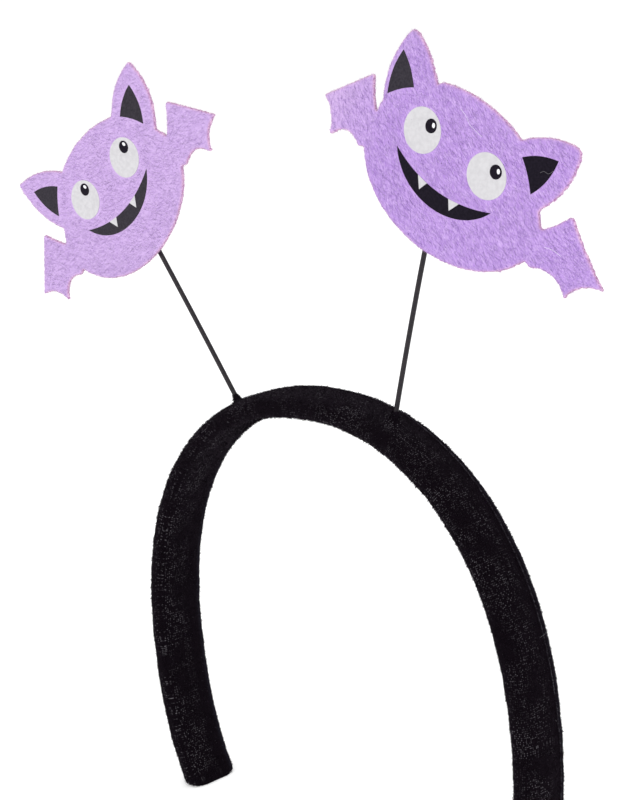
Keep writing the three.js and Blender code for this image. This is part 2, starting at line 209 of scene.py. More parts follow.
def spread_out(piece: Piece, weights: np.ndarray, rounds: int) -> np.ndarray:
    """Blur vertex weights over their neighbours.

    Args:
        piece: The piece whose edges join the vertices.
        weights: One weight for each vertex.
        rounds: How many times to blur.

    Returns:
        The blurred weights.
    """
    ends = np.empty(len(piece.data.edges) * 2, dtype=np.int64)
    piece.data.edges.foreach_get("vertices", ends)
    first, second = ends.reshape(-1, 2).T
    count = np.bincount(ends, minlength=len(weights))
    for _ in range(rounds):
        total = np.bincount(first, weights[second], len(weights))
        total += np.bincount(second, weights[first], len(weights))
        weights = 0.5 * weights + 0.5 * total / np.maximum(count, 1)
    return weights


def scatter(
    piece: Piece, count: int, rng: np.random.Generator
) -> tuple[np.ndarray, np.ndarray]:
    """Choose points all over a piece's surface, as dense everywhere.

    Args:
        piece: The piece.
        count: How many points.
        rng: The seeded source of random numbers.

    Returns:
        The points and the surface's normals there.
    """
    mesh = piece.data
    mesh.calc_loop_triangles()
    corners = np.empty(len(mesh.loop_triangles) * 3, dtype=np.int64)
    mesh.loop_triangles.foreach_get("vertices", corners)
    a, b, c = (vertex_array(piece)[corners.reshape(-1, 3)[:, i]] for i in range(3))
    cross = np.cross(b - a, c - a)
    areas = np.linalg.norm(cross, axis=1)
    chosen = rng.choice(len(areas), count, p=areas / areas.sum())
    u, v = np.sqrt(rng.random(count)), rng.random(count)
    points = (
        a[chosen] * (1 - u)[:, None]
        + b[chosen] * (u * (1 - v))[:, None]
        + c[chosen] * (u * v)[:, None]
    )
    return points, unit(cross[chosen])


@dataclass
class Tuft:
    """Many short fibres, each a closed spike of four triangles."""

    roots: np.ndarray
    ways: np.ndarray
    lengths: np.ndarray
    widths: np.ndarray
    tones: np.ndarray

    def build(self, name: str) -> Piece:
        """Build the fibres as one piece that holds each one's tone.

        Args:
            name: The piece's name.

        Returns:
            The piece.
        """
        count = len(self.roots)
        ways = unit(self.ways)
        helper = np.where(np.abs(ways[:, 2:]) < 0.8, [[0.0, 0.0, 1.0]], [[1.0, 0.0, 0.0]])
        first = unit(np.cross(ways, helper))
        second = np.cross(ways, first)
        points = np.empty((count, 4, 3))
        for corner in range(3):
            turn = 2 * math.pi * corner / 3
            offset = first * math.cos(turn) + second * math.sin(turn)
            points[:, corner] = self.roots + offset * self.widths[:, None] / 2
        points[:, 3] = self.roots + ways * self.lengths[:, None]
        sides = np.array([[0, 2, 1], [0, 1, 3], [1, 2, 3], [2, 0, 3]])
        faces = (np.arange(count)[:, None, None] * 4 + sides).reshape(-1)
        mesh = bpy.data.meshes.new(name)
        mesh.vertices.add(count * 4)
        mesh.vertices.foreach_set("co", points.astype(np.float32).ravel())
        mesh.loops.add(len(faces))
        mesh.loops.foreach_set("vertex_index", faces.astype(np.int32))
        mesh.polygons.add(len(faces) // 3)
        mesh.polygons.foreach_set("loop_start", np.arange(0, len(faces), 3, dtype=np.int32))
        mesh.update(calc_edges=True)
        piece = bpy.data.objects.new(name, mesh)
        bpy.context.scene.collection.objects.link(piece)
        set_attribute(piece, "tone", np.repeat(self.tones, 4))
        return piece


def threads(name: str, lines: Iterable[Sequence[Vector]], radius: float) -> Piece:
    """Make thin round threads along lines, with closed ends, as one piece.

    Args:
        name: The piece's name.
        lines: The points of each thread's middle line.
        radius: The threads' radius.

    Returns:
        The piece, a mesh.
    """
    curve = bpy.data.curves.new(name, "CURVE")
    curve.dimensions = "3D"
    curve.bevel_depth = radius
    curve.bevel_resolution = 1
    curve.use_fill_caps = True
    for line in lines:
        spline = curve.splines.new("POLY")
        spline.points.add(len(line) - 1)
        for point, place in zip(spline.points, line):
            point.co = (*place, 1.0)
    piece = bpy.data.objects.new(name, curve)
    bpy.context.scene.collection.objects.link(piece)
    take(piece)
    bpy.ops.object.convert(target="MESH")
    piece = bpy.context.view_layer.objects.active
    piece.name = name
    bpy.ops.object.mode_set(mode="EDIT")
    bpy.ops.mesh.select_all(action="SELECT")
    bpy.ops.mesh.normals_make_consistent(inside=False)
    bpy.ops.object.mode_set(mode="OBJECT")
    return piece


def surface_tree(piece: Piece) -> BVHTree:
    """A search tree of the piece's faces."""
    mesh = piece.data
    return BVHTree.FromPolygons(
        [v.co for v in mesh.vertices], [tuple(p.vertices) for p in mesh.polygons]
    )


def dress(piece: Piece, material: Material, nodes: Sequence[str] = ()) -> Piece:
    """Give a piece its material, its body and the CAD nodes it stands for.

    Args:
        piece: The piece.
        material: Its material.
        nodes: The CAD nodes that it replaces.

    Returns:
        The same piece.
    """
    piece.data.materials.clear()
    piece.data.materials.append(material)
    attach(piece, "root")
    if nodes:
        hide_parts(*nodes)
    log.info("%s: %d faces", piece.name, len(piece.data.polygons))
    return piece


# Shader helpers


@dataclass
class Tree:
    """A node tree with short calls to fill it."""

    nodes: Group

    def add(self, kind: str, **settings: object) -> bpy.types.Node:
        """Add a node of a kind and set its properties by name."""
        node = self.nodes.nodes.new(kind)
        for key, value in settings.items():
            setattr(node, key, value)
        return node

    def link(self, source: Socket, target: Socket) -> None:
        """Join an output to an input."""
        self.nodes.links.new(source, target)

    def sum_of(self, first: Socket, second: Socket, share: float) -> Socket:
        """Add a share of the second value to the first.

        Args:
            first: The value that is kept whole.
            second: The value that is scaled.
            share: Its share.

        Returns:
            The output socket of the sum.
        """
        node = self.add("ShaderNodeMath", operation="MULTIPLY_ADD")
        node.inputs[1].default_value = share
        self.link(second, node.inputs[0])
        self.link(first, node.inputs[2])
        return node.outputs[0]

    def ramp(self, factor: Socket, stops: Sequence[tuple[float, Colour]]) -> Socket:
        """Turn a value into a colour.

        Args:
            factor: The value.
            stops: Places from 0 to 1 with their colours.

        Returns:
            The colour's output socket.
        """
        node = self.add("ShaderNodeValToRGB")
        elements = node.color_ramp.elements
        while len(elements) < len(stops):
            elements.new(0.5)
        for element, (place, colour) in zip(elements, stops):
            element.position = place
            element.color = (*colour, 1.0)
        self.link(factor, node.inputs[0])
        return node.outputs[0]

    def blend(self, factor: Socket, under: Socket, over: Colour | Socket) -> Socket:
        """Lay a colour over another by a factor.

        Args:
            factor: How much of the upper colour shows.
            under: The colour below.
            over: The upper colour, plain or from a socket.

        Returns:
            The mixed colour's output socket.
        """
        node = self.add("ShaderNodeMix", data_type="RGBA")
        self.link(factor, node.inputs[0])
        self.link(under, node.inputs[6])
        if isinstance(over, tuple):
            node.inputs[7].default_value = (*over, 1.0)
        else:
            self.link(over, node.inputs[7])
        return node.outputs[2]

    def math(self, operation: str, first: Socket, second: float | Socket = 0.0) -> Socket:
        """Work out a value from others.

        Args:
            operation: Blender's name of the operation.
            first: The first value.
            second: The second one, plain or from a socket, where it takes one.

        Returns:
            The result's output socket.
        """
        node = self.add("ShaderNodeMath", operation=operation)
        self.link(first, node.inputs[0])
        if isinstance(second, float):
            node.inputs[1].default_value = second
        else:
            self.link(second, node.inputs[1])
        return node.outputs[0]

    def product(self, first: Socket, second: Socket) -> Socket:
        """The output socket of two values' product."""
        return self.math("MULTIPLY", first, second)

    def place_on_piece(self) -> Socket:
        """The output socket of the point's place in the part's frame."""
        return self.add("ShaderNodeTexCoord").outputs["Object"]

    def attribute(self, name: str) -> Socket:
        """The output socket of a number that each vertex holds."""
        return self.add("ShaderNodeAttribute", attribute_name=name).outputs["Fac"]

    def spread(self, value: Socket, low: float, high: float, top: float = 1.0) -> Socket:
        """Spread a range of a value over 0 to a top, clamped at both ends.

        Args:
            value: The value.
            low: What becomes 0, which may be the greater one.
            high: What becomes the top.
            top: The greatest result.

        Returns:
            The result's output socket.
        """
        node = self.add("ShaderNodeMapRange", clamp=True)
        set_inputs(node, From_Min=low, From_Max=high, To_Max=top)
        self.link(value, node.inputs["Value"])
        return node.outputs[0]

    def place(self, group: Group, **values: object) -> bpy.types.Node:
        """Place a node group and set its inputs by name, with spaces as underscores."""
        node = self.add("ShaderNodeGroup", node_tree=group)
        for key, value in values.items():
            socket = node.inputs[key.replace("_", " ")]
            if isinstance(value, Socket):
                self.link(value, socket)
            else:
                socket.default_value = value
        return node


def new_material(name: str) -> tuple[Material, Tree, bpy.types.Node]:
    """Make an empty material with a principled shader.

    Args:
        name: The material's name.

    Returns:
        The material, its tree and its shader node.
    """
    material = bpy.data.materials.new(name)
    material.use_nodes = True
    material.node_tree.nodes.clear()
    tree = Tree(material.node_tree)
    shader = tree.add("ShaderNodeBsdfPrincipled")
    output = tree.add("ShaderNodeOutputMaterial")
    tree.link(shader.outputs[0], output.inputs[0])
    return material, tree, shader


def set_inputs(node: bpy.types.Node, **values: object) -> None:
    """Set a node's inputs to plain values by name, with spaces as underscores."""
    for key, value in values.items():
        node.inputs[key.replace("_", " ")].default_value = value


def bump(
    tree: Tree, shader: bpy.types.Node, height: Socket, depth: float, strength: float
) -> None:
    """Roughen a shader's surface by a height.

    Args:
        tree: The material's tree.
        shader: Its shader.
        height: The height, from 0 to 1.
        depth: The real depth of a height of one.
        strength: How strongly it shows.
    """
    node = tree.add("ShaderNodeBump")
    set_inputs(node, Strength=strength, Distance=depth)
    tree.link(height, node.inputs["Height"])
    tree.link(node.outputs[0], shader.inputs["Normal"])


def group_tree(
    name: str, inputs: Sequence[tuple[str, str]], outputs: Sequence[str]
) -> tuple[Tree, bpy.types.Node, bpy.types.Node]:
    """Start a shader node group.

    Args:
        name: The group's name.
        inputs: The inputs' names and socket types.
        outputs: The names of its outputs, all values.

    Returns:
        The group's tree, its input node and its output node.
    """
    nodes = bpy.data.node_groups.new(name, "ShaderNodeTree")
    for label, kind in inputs:
        nodes.interface.new_socket(name=label, in_out="INPUT", socket_type=kind)
    for label in outputs:
        nodes.interface.new_socket(name=label, in_out="OUTPUT", socket_type="NodeSocketFloat")
    tree = Tree(nodes)
    return tree, tree.add("NodeGroupInput"), tree.add("NodeGroupOutput")


def brushed_fibres() -> Group:
    """Build the group for fibres that lie mostly along X, crossed by finer ones.

    Returns:
        The group, with a Tone and a Height.
    """
    cross_turn = 0.7
    cross_share = 0.4
    waviness = 0.2
    tree, given, put = group_tree(
        "brushed_fibres",
        [("Vector", "NodeSocketVector"), ("Frequency", "NodeSocketVector")],
        ["Tone", "Height"],
    )
    layers = []
    for turn, detail in ((0.0, 3.0), (cross_turn, 2.0)):
        turned = tree.add("ShaderNodeMapping")
        turned.inputs["Rotation"].default_value = (0, 0, turn)
        stretched = tree.add("ShaderNodeVectorMath", operation="MULTIPLY")
        noise = tree.add("ShaderNodeTexNoise")
        set_inputs(noise, Scale=1.0, Detail=detail, Distortion=waviness)
        tree.link(given.outputs["Vector"], turned.inputs["Vector"])
        tree.link(turned.outputs[0], stretched.inputs[0])
        tree.link(given.outputs["Frequency"], stretched.inputs[1])
        tree.link(stretched.outputs[0], noise.inputs["Vector"])
        layers.append(noise.outputs["Fac"])
    crossed = tree.add("ShaderNodeMix", data_type="FLOAT")
    crossed.inputs[0].default_value = cross_share
    tree.link(layers[0], crossed.inputs[2])
    tree.link(layers[1], crossed.inputs[3])
    tree.link(crossed.outputs[0], put.inputs["Tone"])
    tree.link(layers[0], put.inputs["Height"])
    return tree.nodes


def fine_mottle() -> Group:
    """Build the group for a fine unevenness that has no direction.

    Returns:
        The group, with a Tone and a Height.
    """
    tree, given, put = group_tree(
        "fine_mottle",
        [("Vector", "NodeSocketVector"), ("Scale", "NodeSocketFloat")],
        ["Tone", "Height"],
    )
    for output, detail in (("Tone", 2.0), ("Height", 5.0)):
        noise = tree.add("ShaderNodeTexNoise")
        noise.inputs["Detail"].default_value = detail
        tree.link(given.outputs["Vector"], noise.inputs["Vector"])
        tree.link(given.outputs["Scale"], noise.inputs["Scale"])
        tree.link(noise.outputs["Fac"], put.inputs[output])
    return tree.nodes


def scattered_specks() -> Group:
    """Build the group for small round specks in some of the cells of a loose grid.

    Returns:
        The group, with a Mask.
    """
    soft = 0.12
    tree, given, put = group_tree(
        "scattered_specks",
        [
            ("Vector", "NodeSocketVector"),
            ("Scale", "NodeSocketFloat"),
            ("Share", "NodeSocketFloat"),
            ("Size", "NodeSocketFloat"),
            ("Looseness", "NodeSocketFloat"),
        ],
        ["Mask"],
    )
    cells = tree.add("ShaderNodeTexVoronoi")
    for source, target in (("Vector", "Vector"), ("Scale", "Scale"), ("Looseness", "Randomness")):
        tree.link(given.outputs[source], cells.inputs[target])
    parts = tree.add("ShaderNodeSeparateColor")
    tree.link(cells.outputs["Color"], parts.inputs[0])
    chosen = tree.math("LESS_THAN", parts.outputs[0], given.outputs["Share"])
    gap = tree.math("SUBTRACT", given.outputs["Size"], cells.outputs["Distance"])
    inside = tree.spread(gap, 0.0, soft)
    tree.link(tree.product(chosen, inside), put.inputs["Mask"])
    return tree.nodes


@dataclass(frozen=True)
class Effects:
    """The node groups that several finishes share, each built once."""

    fibres: Group
    mottle: Group
    specks: Group

    @classmethod
    def build(cls) -> "Effects":
        """Build each group once."""
        return cls(brushed_fibres(), fine_mottle(), scattered_specks())


# Finishes


@dataclass(frozen=True)
class VelvetFinish:
    """Black velvet: a dense short pile over a knitted back, with a painted highlight along its
    ridge and a painted sheen of light on its edge.
    """

    deep: Colour = (0.0014, 0.0007, 0.0014)
    raised: Colour = (0.0072, 0.0046, 0.0076)
    gap: Colour = (0.13, 0.121, 0.136)
    lint: Colour = (0.1, 0.095, 0.105)
    # Painted highlight: the pale colour of the light that the band's ridge catches.
    ridge_sheen: Colour = (0.14, 0.136, 0.16)
    # Painted sheen: the bluish light on the band's edge past the ridge.
    edge_sheen: Colour = (0.012, 0.0105, 0.0175)
    sheen: Colour = (0.72, 0.52, 0.8)
    roughness: float = 0.92
    specular: float = 0.025
    sheen_weight: float = 0.03
    sheen_roughness: float = 0.42
    pile_size: float = 0.22 * MM
    lay: tuple[float, float] = (1.6 * MM, 0.35 * MM)
    dust_pitch: float = 1.1 * MM
    dust_share: float = 0.04
    knit_pitch: float = 0.56 * MM
    knit_share: float = 0.5
    knit_dot: float = 0.3
    knit_middle: float = -4.2 * MM
    knit_reach: tuple[float, float] = (6.6 * MM, 4.8 * MM)
    edge_sheen_reach: tuple[float, float] = (5.2 * MM, 6.8 * MM)
    bare_tones: tuple[float, float, float] = (0.40, 0.62, 0.85)
    patch_size: float = 9 * MM
    bump_depth: float = 0.22 * MM
    bump_strength: float = 0.8

    def material(self, effects: Effects) -> Material:
        """Make the material, which reads the band's own UV map.

        Args:
            effects: The shared node groups.

        Returns:
            The material.
        """
        material, tree, shader = new_material("velvet")
        place = tree.place_on_piece()
        wrap = tree.add("ShaderNodeUVMap", uv_map="wrap").outputs[0]
        pile = tree.place(effects.mottle, Vector=place, Scale=1 / self.pile_size)
        lay = tree.place(
            effects.fibres, Vector=wrap, Frequency=(1 / self.lay[0], 1 / self.lay[1], 1.0)
        )
        knit = tree.place(
            effects.specks,
            Vector=wrap,
            Scale=1 / self.knit_pitch,
            Share=self.knit_share,
            Size=self.knit_dot,
            Looseness=0.25,
        )
        dust = tree.place(
            effects.specks,
            Vector=place,
            Scale=1 / self.dust_pitch,
            Share=self.dust_share,
            Size=0.14,
            Looseness=1.0,
        )
        patch = tree.place(effects.mottle, Vector=place, Scale=1 / self.patch_size)
        bare = tree.spread(patch.outputs["Tone"], *self.bare_tones)
        parts = tree.add("ShaderNodeSeparateXYZ")
        tree.link(place, parts.inputs[0])
        away = tree.math("ABSOLUTE", tree.math("SUBTRACT", parts.outputs["Y"], self.knit_middle))
        bare = tree.product(bare, tree.spread(away, *self.knit_reach))
        shown = tree.product(knit.outputs["Mask"], bare)
        # Painted highlight along the ridge, where the top turns to the side and catches the light,
        # broken up by the lay and the pile.
        ridge = tree.attribute("ridge")
        ridge_highlight = tree.product(
            tree.spread(ridge, 0.5, 0.95), tree.spread(lay.outputs["Tone"], 0.44, 0.58)
        )
        ridge_highlight = tree.product(ridge_highlight, tree.spread(pile.outputs["Tone"], 0.36, 0.56))
        colour = tree.ramp(
            tree.sum_of(pile.outputs["Tone"], lay.outputs["Tone"], 0.25),
            [(0.45, self.deep), (0.85, self.raised)],
        )
        # Painted sheen: a bluish strip of light along the band's edge past the ridge, broken up by
        # the pile.
        edge_sheen_mask = tree.product(
            tree.spread(parts.outputs["Y"], *self.edge_sheen_reach),
            tree.spread(pile.outputs["Tone"], 0.3, 0.6),
        )
        colour = tree.blend(edge_sheen_mask, colour, self.edge_sheen)
        colour = tree.blend(shown, colour, self.gap)
        colour = tree.blend(ridge_highlight, colour, self.ridge_sheen)
        colour = tree.blend(dust.outputs["Mask"], colour, self.lint)
        tree.link(colour, shader.inputs["Base Color"])
        set_inputs(
            shader,
            Roughness=self.roughness,
            Specular_IOR_Level=self.specular,
            Sheen_Weight=self.sheen_weight,
            Sheen_Roughness=self.sheen_roughness,
            Sheen_Tint=(*self.sheen, 1.0),
        )
        height = tree.sum_of(pile.outputs["Height"], lay.outputs["Height"], 0.5)
        bump(tree, shader, height, self.bump_depth, self.bump_strength)
        return material


@dataclass(frozen=True)
class FibreFinish:
    """Loose fibres, whose tone differs from one to the next."""

    name: str
    stops: tuple[tuple[float, Colour], ...]
    sheen: Colour
    sheen_weight: float = 0.2
    roughness: float = 0.8
    specular: float = 0.15
    mottle_size: float = 0.8 * MM
    mottle_share: float = 0.06

    def material(self, effects: Effects) -> Material:
        """Make the material, which reads the tone that each fibre holds.

        Args:
            effects: The shared node groups.

        Returns:
            The material.
        """
        material, tree, shader = new_material(self.name)
        tone = tree.attribute("tone")
        place = tree.place_on_piece()
        mottle = tree.place(effects.mottle, Vector=place, Scale=1 / self.mottle_size)
        uneven = tree.sum_of(tone, mottle.outputs["Tone"], self.mottle_share)
        tree.link(tree.ramp(uneven, self.stops), shader.inputs["Base Color"])
        set_inputs(
            shader,
            Roughness=self.roughness,
            Specular_IOR_Level=self.specular,
            Sheen_Weight=self.sheen_weight,
            Sheen_Tint=(*self.sheen, 1.0),
        )
        return material


@dataclass(frozen=True)
class FeltFinish:
    """Lilac felt, brushed one way, with painted pink light glowing in its cut edge and a part drawn
    paler.
    """

    shade: Colour = (0.375, 0.21, 0.59)
    middle: Colour = (0.475, 0.30, 0.68)
    pale: Colour = (0.62, 0.44, 0.785)
    paler_end: Colour = (0.62, 0.44, 0.745)
    # The next three colours are painted light: the pink glow of light shining through the felt's
    # cut edge.
    edge_glow_dark: Colour = (0.40, 0.17, 0.34)
    edge: Colour = (0.66, 0.37, 0.60)
    edge_glow_pale: Colour = (0.83, 0.56, 0.69)
    speck: Colour = (0.32, 0.17, 0.50)
    sheen: Colour = (0.92, 0.82, 0.97)
    streak: tuple[float, float] = (1.4 * MM, 0.14 * MM)
    mottle_size: float = 3.2 * MM
    mottle_share: float = 0.12
    edge_mottle: float = 0.55 * MM
    speck_pitch: float = 1.5 * MM
    speck_share: float = 0.14
    roughness: float = 0.9
    specular: float = 0.15
    sheen_weight: float = 0.22
    bump_depth: float = 0.02 * MM
    bump_strength: float = 0.35

    def material(self, effects: Effects, face: "FaceFrame", brush: float) -> Material:
        """Make the felt of one bat.

        Args:
            effects: The shared node groups.
            face: The bat's own frame, which the fibres' direction follows.
            brush: The direction of the fibres in it, in degrees.

        Returns:
            The material.
        """
        material, tree, shader = new_material("felt_" + face.side.value)
        place = tree.place_on_piece()
        turned = tree.add("ShaderNodeMapping")
        inverse = (face.axes() @ Matrix.Rotation(math.radians(brush), 3, "Z")).transposed()
        turned.inputs["Location"].default_value = -(inverse @ face.origin)
        turned.inputs["Rotation"].default_value = inverse.to_euler("XYZ")
        tree.link(place, turned.inputs["Vector"])
        long, narrow = self.streak
        streaks = tree.place(
            effects.fibres, Vector=turned.outputs[0], Frequency=(1 / long, 1 / narrow, 1 / narrow)
        )
        mottle = tree.place(effects.mottle, Vector=place, Scale=1 / self.mottle_size)
        specks = tree.place(
            effects.specks,
            Vector=place,
            Scale=1 / self.speck_pitch,
            Share=self.speck_share,
            Size=0.15,
            Looseness=1.0,
        )
        uneven = tree.sum_of(streaks.outputs["Tone"], mottle.outputs["Tone"], self.mottle_share)
        colour = tree.ramp(
            uneven, [(0.44, self.shade), (0.56, self.middle), (0.70, self.pale)]
        )
        colour = tree.blend(specks.outputs["Mask"], colour, self.speck)
        # The felt is drawn paler toward the end of one wing, by an attribute that it holds.
        paling = tree.attribute("paling")
        colour = tree.blend(paling, colour, self.paler_end)
        # Painted light: the cut edge takes the pink glow of light shining through the felt.
        rim = tree.attribute("rim")
        tufts = tree.place(effects.mottle, Vector=place, Scale=1 / self.edge_mottle)
        cut = tree.ramp(
            tufts.outputs["Tone"],
            [(0.38, self.edge_glow_dark), (0.46, self.edge), (0.6, self.edge_glow_pale)],
        )
        tree.link(tree.blend(rim, colour, cut), shader.inputs["Base Color"])
        set_inputs(
            shader,
            Roughness=self.roughness,
            Specular_IOR_Level=self.specular,
            Sheen_Weight=self.sheen_weight,
            Sheen_Roughness=0.5,
            Sheen_Tint=(*self.sheen, 1.0),
        )
        bump(tree, shader, streaks.outputs["Height"], self.bump_depth, self.bump_strength)
        return material


@dataclass(frozen=True)
class SmoothFinish:
    """A smooth coat, print or glue with a fine unevenness."""

    name: str
    slot: Slot
    low: Colour
    high: Colour
    speck: Colour
    grain: float
    roughness: tuple[float, float]
    specular: float = 0.5
    speck_share: float = 0.05
    speck_pitch: float = 1.2 * MM
    coat: float = 0.0
    clearness: float = 0.0
    bump_depth: float = 0.03 * MM
    bump_strength: float = 0.4

    def material(self, effects: Effects) -> Material:
        """Make the material.

        Args:
            effects: The shared node groups.

        Returns:
            The material.
        """
        material, tree, shader = new_material(self.name)
        place = tree.place_on_piece()
        grain = tree.place(effects.mottle, Vector=place, Scale=1 / self.grain)
        specks = tree.place(
            effects.specks,
            Vector=place,
            Scale=1 / self.speck_pitch,
            Share=self.speck_share,
            Size=0.12,
            Looseness=1.0,
        )
        colour = tree.ramp(grain.outputs["Tone"], [(0.35, self.low), (0.65, self.high)])
        colour = tree.blend(specks.outputs["Mask"], colour, self.speck)
        tree.link(colour, shader.inputs["Base Color"])
        rough = tree.add("ShaderNodeMapRange")
        set_inputs(rough, To_Min=self.roughness[0], To_Max=self.roughness[1])
        tree.link(grain.outputs["Tone"], rough.inputs["Value"])
        tree.link(rough.outputs[0], shader.inputs["Roughness"])
        set_inputs(
            shader,
            Specular_IOR_Level=self.specular,
            Coat_Weight=self.coat,
            Transmission_Weight=self.clearness,
        )
        bump(tree, shader, grain.outputs["Height"], self.bump_depth, self.bump_strength)
        return material


WIRE_COAT = SmoothFinish(
    name="satin_wire_coat",
    slot=Slot.WIRE,
    low=(0.0095, 0.0078, 0.0125),
    high=(0.021, 0.016, 0.0185),
    speck=(0.05, 0.043, 0.045),
    grain=0.7 * MM,
    roughness=(0.3, 0.42),
    specular=0.24,
)
BLACK_PRINT = SmoothFinish(
    name="black_print",
    slot=Slot.BLACK,
    low=(0.0058, 0.004, 0.0092),
    high=(0.0108, 0.0078, 0.0152),
    speck=(0.055, 0.05, 0.062),
    grain=0.5 * MM,
    roughness=(0.5, 0.66),
    specular=0.06,
    bump_depth=0.05 * MM,
)
# Painted glare: black print drawn a lighter grey where light glances off it.
GLARED_PRINT = SmoothFinish(
    name="glared_black_print",
    slot=Slot.BLACK,
    low=(0.022, 0.0185, 0.026),
    high=(0.036, 0.031, 0.041),
    speck=(0.09, 0.085, 0.1),
    grain=0.6 * MM,
    roughness=(0.5, 0.66),
    specular=0.1,
    bump_depth=0.05 * MM,
)
WHITE_PRINT = SmoothFinish(
    name="eye_white_print",
    slot=Slot.WHITE,
    low=(0.55, 0.54, 0.56),
    high=(0.61, 0.60, 0.62),
    speck=(0.43, 0.41, 0.43),
    grain=1.1 * MM,
    roughness=(0.5, 0.62),
    specular=0.2,
    speck_share=0.07,
    speck_pitch=1.6 * MM,
    bump_depth=0.03 * MM,
)
BRIGHT_PRINT = SmoothFinish(
    name="bright_white_print",
    slot=Slot.WHITE,
    low=(0.80, 0.795, 0.82),
    high=(0.86, 0.855, 0.88),
    speck=(0.68, 0.67, 0.7),
    grain=1.1 * MM,
    roughness=(0.45, 0.6),
    specular=0.3,
    bump_depth=0.03 * MM,
)
SET_GLUE = SmoothFinish(
    name="set_glue",
    slot=Slot.GLUE,
    low=(0.80, 0.70, 0.58),
    high=(0.88, 0.80, 0.69),
    speck=(0.93, 0.9, 0.85),
    grain=1.6 * MM,
    roughness=(0.18, 0.34),
    coat=0.3,
    clearness=0.3,
    bump_depth=0.05 * MM,
    bump_strength=0.3,
)
RIGHT_FELT = FeltFinish()
LEFT_FELT = FeltFinish(
    shade=(0.495, 0.33, 0.655),
    middle=(0.55, 0.38, 0.695),
    pale=(0.61, 0.44, 0.74),
    speck=(0.46, 0.29, 0.62),
)
PILE = FibreFinish(
    name="velvet_pile",
    stops=(
        (0.2, (0.0014, 0.0007, 0.0014)),
        (0.8, (0.0075, 0.005, 0.0082)),
        (1.0, (0.05, 0.047, 0.056)),
    ),
    sheen=(0.72, 0.52, 0.8),
    sheen_weight=0.03,
    specular=0.025,
)
FELT_FIBRES = FibreFinish(
    name="felt_fibres_lilac",
    stops=((0.05, (0.34, 0.185, 0.56)), (0.5, (0.48, 0.305, 0.685)), (1.0, (0.72, 0.56, 0.85))),
    sheen=(0.92, 0.84, 0.97),
)
PALE_FIBRES = FibreFinish(
    name="felt_fibres_pale",
    stops=((0.05, (0.50, 0.33, 0.655)), (0.5, (0.56, 0.39, 0.70)), (1.0, (0.66, 0.50, 0.78))),
    sheen=(0.92, 0.84, 0.97),
)
# Painted light: the cut edge's fibres take the pink glow of light shining through them.
EDGE_GLOW_FIBRES = FibreFinish(
    name="felt_edge_fibres",
    stops=((0.05, (0.40, 0.18, 0.33)), (0.5, (0.64, 0.38, 0.61)), (1.0, (0.85, 0.60, 0.70))),
    sheen=(1.0, 0.86, 0.86),
)
LINT = FibreFinish(
    name="grey_lint",
    stops=((0.0, (0.05, 0.046, 0.052)), (1.0, (0.26, 0.25, 0.27))),
    sheen=(1.0, 1.0, 1.0),
    sheen_weight=0.05,
)
HAIR = FibreFinish(
    name="pale_hair",
    stops=((0.0, (0.78, 0.68, 0.9)), (1.0, (0.95, 0.92, 0.98))),
    sheen=(1.0, 1.0, 1.0),
)


# The part's sub-assemblies


